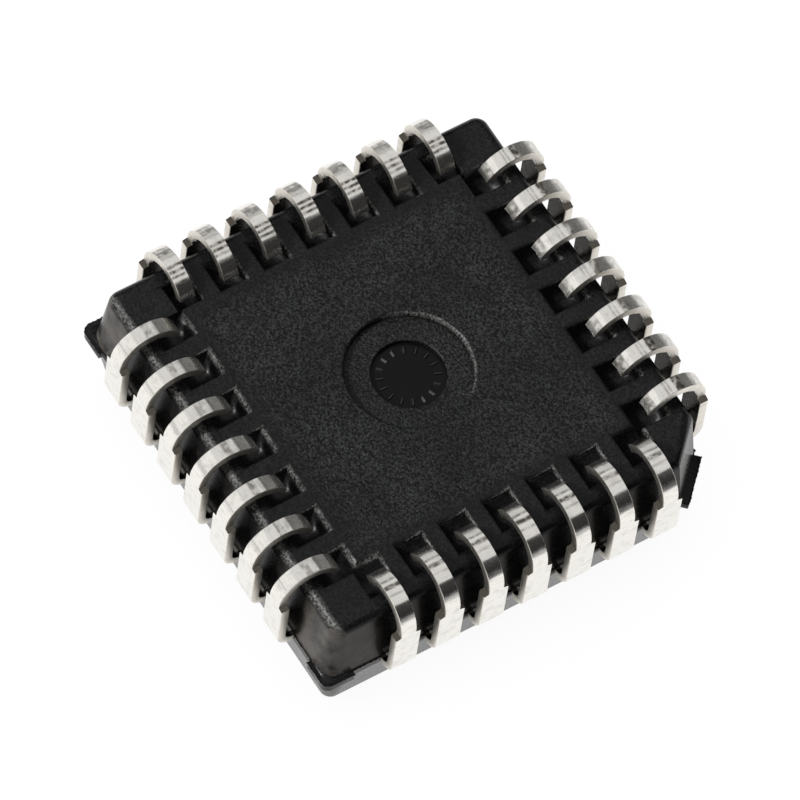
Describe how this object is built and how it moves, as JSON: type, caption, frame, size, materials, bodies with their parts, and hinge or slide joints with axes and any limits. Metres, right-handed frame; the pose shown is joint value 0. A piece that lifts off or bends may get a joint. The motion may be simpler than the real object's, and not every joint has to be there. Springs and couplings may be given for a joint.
{
  "type": "plastic leaded chip carrier",
  "caption": "Square black moulded chip carrier with rows of curled tin-plated J-leads on its four sides, lying on its marked face.",
  "frame": {"origin": "centre of the marked face, which the chip lies on", "axes": "+Z out of the underside that faces a board in use, +X toward the side with pin 1, with the index chamfer at +X, -Y"},
  "size_m": [0.0124, 0.0123, 0.0044],
  "materials": {
    "mould_compound": "fine spark-eroded matte",
    "tin_plate": "satin tin plate over copper",
    "bare_copper": "bare copper alloy",
    "die_adhesive": "cured silver-filled epoxy",
    "silicon": "polished silicon",
    "gold_wire": "drawn gold wire"
  },
  "bodies": {
    "root": {"body": "mould_compound", "lead_01": "tin_plate", "lead_02": "tin_plate", "lead_03": "tin_plate", "lead_04": "tin_plate", "lead_05": "tin_plate", "lead_06": "tin_plate", "lead_07": "tin_plate", "lead_08": "tin_plate", "lead_09": "tin_plate", "lead_10": "tin_plate", "lead_11": "tin_plate", "lead_12": "tin_plate", "lead_13": "tin_plate", "lead_14": "tin_plate", "lead_15": "tin_plate", "lead_16": "tin_plate", "lead_17": "tin_plate", "lead_18": "tin_plate", "lead_19": "tin_plate", "lead_20": "tin_plate", "lead_21": "tin_plate", "lead_22": "tin_plate", "lead_23": "tin_plate", "lead_24": "tin_plate", "lead_25": "tin_plate", "lead_26": "tin_plate", "lead_27": "tin_plate", "lead_28": "tin_plate", "die_pad": "bare_copper", "die_attach": "die_adhesive", "die": "silicon", "bond_wires": "gold_wire"}
  },
  "joints": []
}
